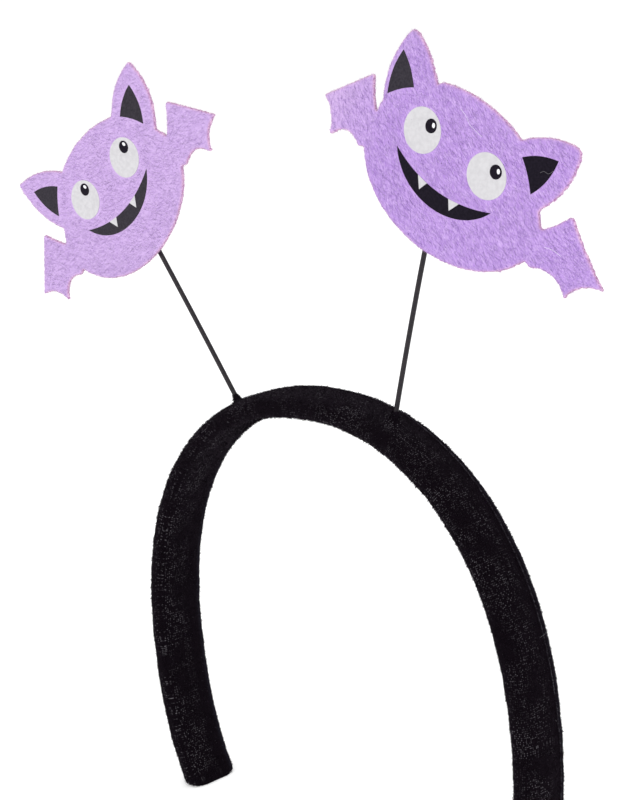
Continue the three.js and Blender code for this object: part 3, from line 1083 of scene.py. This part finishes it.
@dataclass
class VelvetBand:
    """The headband: a padded arch wrapped in black velvet, with its pile and lint."""

    effects: Effects
    leg_drop: float = 40 * MM
    arch_power: float = 2.21
    line_points: int = 900
    batch: int = 4000
    grid: float = 0.5 * MM
    smoothing: int = 16
    ridge_place: float = 4.25 * MM
    ridge_width: float = 0.42 * MM
    ridge_height: float = 0.4 * MM
    ridge_depth: float = 3.2 * MM
    groove_share: float = 0.9
    groove_place: float = 2.1
    wander: tuple[float, float] = (0.25 * MM, 0.1 * MM)
    wander_length: tuple[float, float] = (17 * MM, 5.3 * MM)
    padding_size: float = 7 * MM
    padding_height: float = 0.35 * MM
    nap_size: float = 0.8 * MM
    wire_rise: float = 3.4 * MM
    collar_radii: tuple[float, float] = (1.35 * MM, 0.78 * MM)
    collar_reach: tuple[float, float] = (-0.7 * MM, 2.4 * MM)
    collar_tone: float = 0.76
    collar_grid: float = 0.5 * MM / 3
    collar_nap_size: float = 0.5 * MM
    nap_height: float = 0.34 * MM
    pile_count: int = 45500
    collar_pile_count: int = 420
    pile_length: tuple[float, float] = (0.35 * MM, 0.78 * MM)
    pile_width: float = 0.17 * MM
    pile_lean: tuple[float, float, float] = (0.12, -0.25, -0.3)
    pile_spread: float = 0.3
    pile_root: float = 0.05 * MM
    lint_count: int = 90
    lint_points: int = 5
    lint_lift: float = 0.33 * MM
    lint_radius: float = 0.028 * MM
    lint_tone: float = 0.35
    crossing_hair: float = 65.6 * MM
    crossing_reach: tuple[float, float] = (7.4 * MM, 2.2 * MM)
    crossing_points: int = 12
    crossing_lift: float = 0.34 * MM
    seed: int = 11

    def middle_line(self) -> tuple[np.ndarray, np.ndarray]:
        """Sample the arch's outer line from the right tip to the left one.

        Returns:
            The points in X and Z, and the length along the line at each.
        """
        low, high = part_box("headband")
        half_width = (high.x - low.x) / 2
        rise = high.z - low.z - self.leg_drop
        start = -math.asin((self.leg_drop / rise) ** (self.arch_power / 2))
        turn = np.linspace(start, math.pi - start, self.line_points)
        power = 2 / self.arch_power
        x = half_width * np.sign(np.cos(turn)) * np.abs(np.cos(turn)) ** power
        z = rise * np.sign(np.sin(turn)) * np.abs(np.sin(turn)) ** power
        line = np.column_stack([x + (low.x + high.x) / 2, z + low.z + self.leg_drop])
        steps = np.linalg.norm(np.diff(line, axis=0), axis=1)
        return line, np.concatenate([[0.0], np.cumsum(steps)])

    def wrapped(self, points: np.ndarray) -> tuple[np.ndarray, np.ndarray]:
        """Find where points of the band lie in the velvet's own sheet.

        Args:
            points: The points, a row for each.

        Returns:
            Their places along the band and their depths below its outer line.
        """
        line, lengths = self.middle_line()
        along, depth = np.empty(len(points)), np.empty(len(points))
        for start in range(0, len(points), self.batch):
            part = slice(start, start + self.batch)
            far = np.linalg.norm(points[part, None][:, :, [0, 2]] - line[None], axis=2)
            along[part] = lengths[far.argmin(axis=1)]
            depth[part] = far.min(axis=1)
        return along, depth

    def collar(self, side: Side) -> Piece:
        """Model the velvet that is drawn up round one wire's foot.

        Args:
            side: The wire's hand.

        Returns:
            The collar's piece.
        """
        wire = vertex_array(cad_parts["stalk_" + side.value])
        heights = wire[:, 2] - wire[:, 2].min()
        foot = Vector(wire[heights < 1 * MM].mean(axis=0))
        higher = Vector(wire[(heights > 4 * MM) & (heights < 16 * MM)].mean(axis=0))
        way = (higher - foot).normalized()
        low, high = self.collar_reach
        bpy.ops.mesh.primitive_cone_add(
            vertices=48,
            radius1=self.collar_radii[0],
            radius2=self.collar_radii[1],
            depth=high - low,
            location=foot + way * (self.wire_rise + (low + high) / 2),
            rotation=way.to_track_quat("Z", "Y").to_euler(),
        )
        bpy.ops.object.transform_apply(location=True, rotation=True, scale=True)
        collar = bpy.context.view_layer.objects.active
        collar.name = "velvet_collar_" + side.value
        remesh(collar, self.collar_grid, 3)
        roughen(collar, "collar_nap_" + side.value, self.collar_nap_size, self.nap_height)
        set_attribute(collar, "tone", np.full(len(collar.data.vertices), self.collar_tone))
        shade_smooth(collar)
        return collar

    def shape(self) -> Piece:
        """Model the padded band with its soft ridge.

        Returns:
            The band's piece, whose ridge attribute is 1 along the ridge.
        """
        band = solid_copy("headband", "velvet_band")
        remesh(band, self.grid, self.smoothing)
        points, normals = vertex_array(band), normal_array(band)
        along, depth = self.wrapped(points)
        wander = sum(
            reach * np.sin(along / length) for reach, length in zip(self.wander, self.wander_length)
        )
        off = (points[:, 1] - self.ridge_place - wander) / self.ridge_width
        outer = np.clip(1 - depth / self.ridge_depth, 0, 1)
        ridge = np.exp(-off * off)
        profile = ridge - self.groove_share * np.exp(-((off - self.groove_place) ** 2))
        lift = self.ridge_height * profile * outer
        set_vertices(band, points + normals * lift[:, None])
        set_attribute(band, "ridge", ridge * outer)
        roughen(band, "padding_lumps", self.padding_size, self.padding_height)
        roughen(band, "velvet_nap", self.nap_size, self.nap_height)
        shade_smooth(band)
        return band

    def lay_out(self, band: Piece) -> None:
        """Give the band the UV map of its velvet: along the arch, and round its section.

        Args:
            band: The band's piece.
        """
        points = vertex_array(band)
        along, depth = self.wrapped(points)
        across = points[:, 1] + np.sign(points[:, 1]) * depth
        corners = np.empty(len(band.data.loops), dtype=np.int64)
        band.data.loops.foreach_get("vertex_index", corners)
        layer = band.data.uv_layers.new(name="wrap")
        flat = np.column_stack([along[corners], across[corners]])
        layer.data.foreach_set("uv", flat.astype(np.float32).ravel())

    def pile(self, piece: Piece, count: int, name: str) -> Piece:
        """Build the pile that stands on a piece of velvet.

        Args:
            piece: The band or a collar.
            count: How many tufts it has.
            name: The pile's name.

        Returns:
            The pile's piece.
        """
        rng = np.random.default_rng(self.seed)
        roots, normals = scatter(piece, count, rng)
        ways = normals + np.array(self.pile_lean) + rng.normal(0, self.pile_spread, normals.shape)
        return Tuft(
            roots=roots - normals * self.pile_root,
            ways=ways,
            lengths=rng.uniform(*self.pile_length, count),
            widths=rng.uniform(0.6, 1.3, count) * self.pile_width,
            tones=rng.random(count) ** 3,
        ).build(name)

    def lint(self, band: Piece) -> Piece:
        """Lay fine pale hairs on the pile.

        Args:
            band: The band's piece.

        Returns:
            The lint's piece.
        """
        rng = np.random.default_rng(self.seed + 1)
        roots, normals = scatter(band, self.lint_count, rng)
        tree = surface_tree(band)
        lines = []
        for root, normal in zip(roots, normals):
            way = np.cross(normal, rng.normal(0, 1, 3))
            way /= np.linalg.norm(way)
            bend = rng.normal(0, 0.5)
            point, line = root, []
            for _ in range(self.lint_points):
                near, facing, _, _ = tree.find_nearest(Vector(point))
                line.append(near + facing * self.lint_lift)
                way = way + np.cross(np.array(facing), way) * bend
                way /= np.linalg.norm(way)
                point = np.array(near) + way * rng.uniform(0.08, 0.22) * MM
            lines.append(line)
        line, lengths = self.middle_line()
        across = []
        for y in np.linspace(*self.crossing_reach, self.crossing_points):
            place = self.crossing_hair + 0.12 * y
            x, z = (np.interp(place, lengths, line[:, i]) for i in range(2))
            near, facing, _, _ = tree.find_nearest(Vector((x, y, z)))
            across.append(near + facing * self.crossing_lift)
        hairs = threads("velvet_lint", [*lines, across], self.lint_radius)
        set_attribute(hairs, "tone", np.full(len(hairs.data.vertices), self.lint_tone))
        return hairs

    def build(self) -> None:
        band = self.shape()
        self.lay_out(band)
        dress(band, VelvetFinish().material(self.effects), ["headband"])
        nap = PILE.material(self.effects)
        dress(self.pile(band, self.pile_count, "velvet_pile"), nap)
        for side in Side:
            collar = dress(self.collar(side), nap)
            name = "collar_pile_" + side.value
            dress(self.pile(collar, self.collar_pile_count, name), nap)
        dress(self.lint(band), LINT.material(self.effects))


@dataclass
class WireStalk:
    """One springy wire that stands in the band and carries a bat."""

    side: Side
    coat: Material
    levels: int = 2
    growth: float = 0.043 * MM

    def build(self) -> Piece:
        """Model the round wire and dress it.

        Returns:
            The wire's piece.
        """
        node = "stalk_" + self.side.value
        wire = solid_copy(node, "wire_" + self.side.value)
        apply_modifier(wire, "SUBSURF", levels=self.levels, render_levels=self.levels)
        apply_modifier(wire, "DISPLACE", strength=self.growth, mid_level=0.0)
        shade_smooth(wire)
        return dress(wire, self.coat, [node])


@dataclass
class GlueBead:
    """The set glue that holds one wire's end to the felt's back."""

    side: Side
    glue: Material
    grid: float = 0.28 * MM
    smoothing: int = 12
    lump_size: float = 3 * MM
    lump_height: float = 0.5 * MM

    def build(self) -> Piece:
        """Model the bead as a smooth uneven blob and dress it.

        Returns:
            The bead's piece.
        """
        node = "glue_" + self.side.value
        bead = solid_copy(node, "glue_bead_" + self.side.value)
        remesh(bead, self.grid, self.smoothing)
        roughen(bead, "glue_lumps_" + self.side.value, self.lump_size, self.lump_height)
        shade_smooth(bead)
        return dress(bead, self.glue, [node])


@dataclass(frozen=True)
class FaceFrame:
    """One bat's own frame: x and y in the felt's plane from the face's middle, z to the viewer."""

    side: Side
    yaw: float
    pitch: float
    tilt: float
    eye_height: float = 6.2 * MM

    def axes(self) -> Matrix:
        """The frame's axes as the columns of a matrix."""
        turned = Matrix.Rotation(math.radians(self.yaw), 3, "Z")
        turned = turned @ Matrix.Rotation(math.radians(self.pitch), 3, "X")
        turned = turned @ Matrix.Rotation(math.radians(self.tilt), 3, "Y")
        return turned @ Matrix.Rotation(math.pi / 2, 3, "X")

    @property
    def origin(self) -> Vector:
        """The face's middle, found from the eyes of the CAD model."""
        middles = []
        for end in "ab":
            low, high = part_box(f"eye_white_{end}_{self.side.value}")
            middles.append((low + high) / 2)
        return (middles[0] + middles[1]) / 2 - self.axes() @ Vector((0, self.eye_height, 0))

    @property
    def normal(self) -> Vector:
        """The way that the face looks."""
        return self.axes() @ Vector((0, 0, 1))

    def point(self, x: float, y: float, z: float = 0.0) -> Vector:
        """A point of the bat's frame in the part's frame."""
        return self.origin + self.axes() @ Vector((x, y, z))


@dataclass(frozen=True)
class Print:
    """One film of the printed face: its node's name, how far it sinks and its ink."""

    stem: str
    sink: float
    ink: SmoothFinish
    round: bool = False


PRINTS = (
    Print("mouth", 0.6 * MM, BLACK_PRINT),
    Print("inner_ear_a", 0.6 * MM, BLACK_PRINT),
    Print("inner_ear_b", 0.6 * MM, BLACK_PRINT),
    Print("eye_white_a", 0.6 * MM, WHITE_PRINT, round=True),
    Print("eye_white_b", 0.6 * MM, WHITE_PRINT, round=True),
    Print("pupil_a", 1.25 * MM, BLACK_PRINT, round=True),
    Print("pupil_b", 1.25 * MM, BLACK_PRINT, round=True),
    Print("eye_glint_a", 1.9 * MM, BRIGHT_PRINT, round=True),
    Print("eye_glint_b", 1.9 * MM, BRIGHT_PRINT, round=True),
    Print("fang_a", 1.25 * MM, WHITE_PRINT),
    Print("fang_b", 1.25 * MM, WHITE_PRINT),
)


@dataclass
class FeltBat:
    """One felt bat: the cut felt with its fibres, and the face printed on it."""

    face: FaceFrame
    effects: Effects
    inks: dict[str, Material]
    finish: FeltFinish
    fibre_finish: FibreFinish
    glared_prints: tuple[str, ...]
    paling_reach: tuple[float, float] | None = None
    hairs: tuple[tuple[tuple[float, float], ...], ...] = ()
    print_lint: tuple[tuple[tuple[float, float], ...], ...] = ()
    seed: int = 5
    brush: float = -24.0
    flat_size: tuple[float, float] = (95.6 * MM, 45.4 * MM)
    flat_area: float = 2577 * MM * MM
    grid: float = 0.4 * MM
    rim_roughness: float = 1.3 * MM
    surface_roughness: float = 0.02 * MM
    rim_lump: float = 0.8 * MM
    surface_lump: float = 1.4 * MM
    least_torn: float = 0.4
    palest: float = 0.85
    fibre_count: int = 26000
    fibre_length: tuple[float, float] = (0.9 * MM, 2.4 * MM)
    fibre_width: float = 0.05 * MM
    fibre_spread: float = 0.42
    fibre_rise: float = 0.05
    fibre_lift: float = 0.015 * MM
    flat_facing: float = 0.75
    edge_count: int = 12000
    edge_tries: int = 16
    edge_facing: float = 0.6
    edge_spread: float = 0.55
    edge_root: float = 0.03 * MM
    edge_length: tuple[float, float] = (0.2 * MM, 0.6 * MM)
    corner_angle: float = 50.0
    shading_angle: float = 40.0
    thread_radius: float = 0.05 * MM
    thread_tone: float = 0.4

    def name(self, stem: str) -> str:
        """A piece's name on this side."""
        return f"{stem}_{self.face.side.value}"

    def felt(self) -> Piece:
        """Model the felt with its uneven surface and ragged cut edge.

        Returns:
            The felt's piece, whose rim attribute is 1 at the cut edge.
        """
        felt = solid_copy(self.name("bat"), self.name("felt_bat"))
        remesh(felt, self.grid, 2)
        axes = np.array(self.face.axes())
        normals = normal_array(felt)
        rim = np.clip((0.9 - np.abs(normals @ axes[:, 2])) / 0.5, 0, 1)
        rim = spread_out(felt, rim, 3)
        rightward = np.clip(normals @ axes[:, 0], 0, 1)
        torn = rim * (self.least_torn + (1 - self.least_torn) * rightward)
        group = felt.vertex_groups.new(name="rim")
        for index, weight in enumerate(torn):
            group.add([index], float(weight), "REPLACE")
        roughen(felt, self.name("ragged_edge"), self.rim_lump, self.rim_roughness, "rim")
        roughen(felt, self.name("uneven_felt"), self.surface_lump, self.surface_roughness)
        felt.vertex_groups.clear()
        set_attribute(felt, "rim", rim)
        set_attribute(felt, "paling", self.paling(vertex_array(felt)))
        shade_smooth(felt)
        return felt

    def paling(self, points: np.ndarray) -> np.ndarray:
        """Find how much paler the felt is drawn at points, more so toward the end of one wing.

        Args:
            points: The points, a row for each.

        Returns:
            How much paler, from 0 to 1, at each.
        """
        if self.paling_reach is None:
            return np.zeros(len(points))
        aside = (points - np.array(self.face.origin)) @ np.array(self.face.axes().col[0])
        return np.interp(-aside, self.paling_reach, (0.0, self.palest))

    def print_film(self, kind: Print) -> Piece:
        """Model one printed film on the felt, with a smooth outline of its true size.

        Args:
            kind: Which film.

        Returns:
            The film's piece.
        """
        node = self.name(kind.stem)
        film = solid_copy(node, self.name("printed_" + kind.stem))
        before = self.flat_reach(film)
        take(film)
        bpy.ops.object.mode_set(mode="EDIT")
        bpy.ops.mesh.select_mode(type="EDGE")
        bpy.ops.mesh.select_all(action="DESELECT")
        bpy.ops.mesh.edges_select_sharp(sharpness=math.radians(self.corner_angle))
        bpy.ops.transform.edge_crease(value=1.0)
        bpy.ops.object.mode_set(mode="OBJECT")
        apply_modifier(film, "SUBSURF", levels=2, render_levels=2)
        after = self.flat_reach(film)
        inward = -self.face.normal * kind.sink
        take(film)
        bpy.ops.object.mode_set(mode="EDIT")
        bpy.ops.mesh.select_all(action="SELECT")
        if kind.round:
            grown = before / after
            middle = Vector(vertex_array(film).mean(axis=0))
            bpy.ops.transform.resize(value=(grown, grown, grown), center_override=middle)
        bpy.ops.transform.translate(value=inward)
        bpy.ops.object.mode_set(mode="OBJECT")
        bpy.ops.object.shade_smooth_by_angle(angle=math.radians(self.shading_angle))
        # The prints that catch glare take the lighter black of the painted glare.
        ink = GLARED_PRINT if kind.stem in self.glared_prints else kind.ink
        return dress(film, self.inks[ink.name], [node])

    def flat_reach(self, piece: Piece) -> float:
        """How wide a piece is along the face's x axis."""
        along = vertex_array(piece) @ np.array(self.face.axes().col[0])
        return float(along.max() - along.min())

    def covered(self, points: np.ndarray, films: BVHTree) -> np.ndarray:
        """Find the points that lie under a print.

        Args:
            points: The points, a row for each.
            films: The search tree of the prints.

        Returns:
            True for each point under a print.
        """
        normal = self.face.normal
        found = [
            films.ray_cast(Vector(p) - normal * 0.5 * MM, normal, 2 * MM)[0] is not None
            for p in points
        ]
        return np.array(found)

    def fibres(self, felt: Piece, films: Sequence[Piece]) -> Piece:
        """Lay fine fibres over the felt's faces, clear of the prints.

        Args:
            felt: The felt's piece.
            films: The prints on it.

        Returns:
            The fibres' piece.
        """
        rng = np.random.default_rng(self.seed)
        roots, normals = scatter(felt, self.fibre_count, rng)
        axes = np.array(self.face.axes())
        turn = np.radians(self.brush) + rng.normal(0, self.fibre_spread, len(roots))
        turn += math.pi * (rng.random(len(roots)) < 0.5)
        flat = np.cos(turn)[:, None] * axes[:, 0] + np.sin(turn)[:, None] * axes[:, 1]
        flat = unit(flat - normals * np.sum(flat * normals, axis=1)[:, None])
        ways = flat + normals * rng.uniform(0.0, self.fibre_rise, len(roots))[:, None]
        lengths = rng.uniform(*self.fibre_length, len(roots))
        points, faces, start = [], [], 0
        for film in films:
            points.extend(v.co.copy() for v in film.data.vertices)
            faces.extend(tuple(i + start for i in p.vertices) for p in film.data.polygons)
            start = len(points)
        tree = BVHTree.FromPolygons(points, faces)
        facing = normals @ axes[:, 2]
        tips = roots + unit(ways) * lengths[:, None]
        under = (self.covered(roots, tree) | self.covered(tips, tree)) & (facing > 0)
        clear = (np.abs(facing) > self.flat_facing) & ~under
        return Tuft(
            roots=(roots + normals * self.fibre_lift)[clear],
            ways=ways[clear],
            lengths=lengths[clear],
            widths=(rng.uniform(0.7, 1.5, len(roots)) * self.fibre_width)[clear],
            tones=(0.8 * rng.random(len(roots)) + 0.25 * self.paling(roots))[clear],
        ).build(self.name("felt_fibres"))

    def edge_fibres(self, felt: Piece) -> Piece:
        """Raise short fibres out of the felt's cut edge.

        Args:
            felt: The felt's piece.

        Returns:
            The fibres' piece.
        """
        rng = np.random.default_rng(self.seed + 1)
        roots, normals = scatter(felt, self.edge_count * self.edge_tries, rng)
        facing = np.abs(normals @ np.array(self.face.normal))
        chosen = np.flatnonzero(facing < self.edge_facing)[: self.edge_count]
        roots, normals = roots[chosen], normals[chosen]
        count = len(chosen)
        return Tuft(
            roots=roots - normals * self.edge_root,
            ways=normals + rng.normal(0, self.edge_spread, normals.shape),
            lengths=rng.uniform(*self.edge_length, count),
            widths=rng.uniform(0.7, 1.4, count) * self.fibre_width,
            tones=rng.random(count),
        ).build(self.name("felt_edge_fibres"))

    def laid_threads(
        self,
        stem: str,
        felt: Piece,
        shapes: Sequence[Sequence[tuple[float, float]]],
        lift: float,
        finish: FibreFinish,
    ) -> Piece:
        """Lay single threads over the felt's front and dress them.

        Args:
            stem: The piece's name without its side.
            felt: The felt's piece.
            shapes: The corners of each thread in the face's frame, in millimetres.
            lift: How far they lie over the felt.
            finish: Their finish.

        Returns:
            The threads' piece.
        """
        tree = surface_tree(felt)
        normal = self.face.normal
        lines = []
        for corners in shapes:
            line = []
            for x, y in spline_points(corners, 9):
                above = self.face.point(x * MM, y * MM, 6 * MM)
                hit = tree.ray_cast(above, -normal)[0]
                if hit is not None:
                    line.append(hit + normal * lift)
            lines.append(line)
        piece = threads(self.name(stem), lines, self.thread_radius)
        set_attribute(piece, "tone", np.full(len(piece.data.vertices), self.thread_tone))
        return dress(piece, finish.material(self.effects))

    def build(self) -> Piece:
        """Returns:
            The felt's piece.
        """
        felt = self.felt()
        material = self.finish.material(self.effects, self.face, self.brush)
        dress(felt, material, [self.name("bat")])
        films = [self.print_film(kind) for kind in PRINTS]
        loose = [self.fibres(felt, films)]
        dress(loose[0], self.fibre_finish.material(self.effects))
        loose.append(self.edge_fibres(felt))
        dress(loose[1], EDGE_GLOW_FIBRES.material(self.effects))
        if self.hairs:
            loose.append(self.laid_threads("stray_hairs", felt, self.hairs, 0.08 * MM, HAIR))
        if self.print_lint:
            loose.append(self.laid_threads("print_lint", felt, self.print_lint, 0.2 * MM, LINT))
        self.name("stalk")
        return felt


def spline_points(
    corners: Sequence[tuple[float, float]], steps: int
) -> list[tuple[float, float]]:
    """Points along a smooth curve through a few corners.

    Args:
        corners: The corners, at least two.
        steps: How many points between two corners.

    Returns:
        The points.
    """
    padded = [corners[0], *corners, corners[-1]]
    points = []
    for i in range(len(corners) - 1):
        a, b, c, d = (np.array(p) for p in padded[i : i + 4])
        for t in np.linspace(0, 1, steps, endpoint=False):
            square, cube = 2 * a - 5 * b + 4 * c - d, 3 * (b - c) + d - a
            point = b + 0.5 * t * (c - a + t * (square + t * cube))
            points.append((float(point[0]), float(point[1])))
    return [*points, corners[-1]]


# The studio


@dataclass(frozen=True)
class Studio:
    """A plain pale floor, soft light and the camera at the photo's angle."""

    azimuth: float = 46.20
    elevation: float = 12.16
    roll: float = -5.93
    distance: float = 576.71 * MM
    sight_side: float = 1.65 * MM
    sight_height: float = 120.65 * MM
    focal_pixels: float = 2164.1
    picture_height: int = 800
    floor_radius: float = 30.0
    floor_colour: Colour = (0.93, 0.93, 0.93)
    floor_glow: float = 0.27
    world_strength: float = 0.85

    def floor(self) -> None:
        """Lay the floor."""
        bpy.ops.object.select_all(action="DESELECT")
        bpy.ops.mesh.primitive_circle_add(
            vertices=96, radius=self.floor_radius, fill_type="NGON", location=(0, 0, -0.02 * MM)
        )
        floor = bpy.context.view_layer.objects.active
        floor.name = "studio_floor"
        bpy.ops.object.transform_apply(location=True, rotation=True, scale=True)
        material, _, shader = new_material("studio_floor")
        set_inputs(
            shader,
            Base_Color=(*self.floor_colour, 1.0),
            Roughness=0.9,
            Specular_IOR_Level=0.1,
            Emission_Color=(1.0, 1.0, 1.0, 1.0),
            Emission_Strength=self.floor_glow,
        )
        floor.data.materials.append(material)

    def lights(self) -> None:
        """Hang the soft lights and light the world."""
        world = bpy.data.worlds.new("studio_white")
        world.use_nodes = True
        background = world.node_tree.nodes["Background"]
        set_inputs(background, Color=(1.0, 1.0, 1.0, 1.0), Strength=self.world_strength)
        bpy.context.scene.world = world
        self.panel("key_panel", (-0.2, -1.5, 1.3), 1.1, 9.0)
        self.panel("side_panel", (1.6, -0.3, 0.7), 0.9, 5.0)
        self.panel("back_panel", (-0.4, 1.3, 1.4), 1.0, 5.0)

    def panel(
        self, name: str, place: tuple[float, float, float], size: float, watts: float
    ) -> None:
        """Hang one square light that looks at the part's middle.

        Args:
            name: The light's name.
            place: Where it hangs.
            size: Its width.
            watts: Its power.
        """
        data = bpy.data.lights.new(name, "AREA")
        data.size = size
        data.energy = watts
        light = bpy.data.objects.new(name, data)
        light.location = place
        aim = Vector((0, 0, 0.11)) - light.location
        light.rotation_euler = aim.to_track_quat("-Z", "Y").to_euler()
        bpy.context.scene.collection.objects.link(light)

    def camera(self) -> None:
        """Stand the camera where the photo was taken."""
        a, e, r = (math.radians(v) for v in (self.azimuth, self.elevation, self.roll))
        back = Vector((math.sin(a) * math.cos(e), -math.cos(a) * math.cos(e), math.sin(e)))
        level = Vector((math.cos(a), math.sin(a), 0))
        upright = back.cross(level)
        right = math.cos(r) * level + math.sin(r) * upright
        up = math.cos(r) * upright - math.sin(r) * level
        low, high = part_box("headband")
        middle = Vector(((low.x + high.x) / 2, (low.y + high.y) / 2, 0))
        sight = middle + level * self.sight_side + Vector((0, 0, self.sight_height))
        data = bpy.data.cameras.new("photo_camera")
        data.lens = self.focal_pixels * data.sensor_width / self.picture_height
        data.clip_start, data.clip_end = 0.01, 100.0
        camera = bpy.data.objects.new("photo_camera", data)
        turn = Matrix((right, up, back)).transposed().to_4x4()
        camera.matrix_world = Matrix.Translation(sight + back * self.distance) @ turn
        bpy.context.scene.collection.objects.link(camera)
        bpy.context.scene.camera = camera

    def build(self) -> None:
        """Set up the floor, the lights, the camera and how the picture shows colours."""
        self.floor()
        self.lights()
        self.camera()
        bpy.context.scene.view_settings.view_transform = "Standard"


def main() -> None:
    """Build the studio and dress every sub-assembly in order."""
    logging.basicConfig(level=logging.INFO, format="%(name)s %(message)s")
    Studio().build()
    effects = Effects.build()
    VelvetBand(effects).build()
    coat, glue = WIRE_COAT.material(effects), SET_GLUE.material(effects)
    for side in Side:
        WireStalk(side, coat).build()
        GlueBead(side, glue).build()
    finishes = (BLACK_PRINT, GLARED_PRINT, WHITE_PRINT, BRIGHT_PRINT)
    inks = {finish.name: finish.material(effects) for finish in finishes}
    FeltBat(
        FaceFrame(Side.RIGHT, yaw=3.9, pitch=-4.6, tilt=30.4),
        effects,
        inks,
        RIGHT_FELT,
        FELT_FIBRES,
        glared_prints=("inner_ear_a",),
        paling_reach=(22 * MM, 44 * MM),
        hairs=(
            ((-3.1, 16.6), (-0.9, 15.9), (1.1, 14.6), (3.2, 14.2), (5.6, 13.8)),
            ((33.0, -0.6), (35.3, -0.2), (37.5, -0.5)),
        ),
        print_lint=(((24.4, 14.8), (25.2, 15.65), (26.6, 15.8), (27.4, 17.0)),),
    ).build()
    FeltBat(
        FaceFrame(Side.LEFT, yaw=3.7, pitch=1.1, tilt=-33.1),
        effects,
        inks,
        LEFT_FELT,
        PALE_FIBRES,
        glared_prints=("mouth", "inner_ear_a", "inner_ear_b"),
        seed=8,
        rim_roughness=0.7 * MM,
    ).build()


if __name__ == "__main__":
    main()
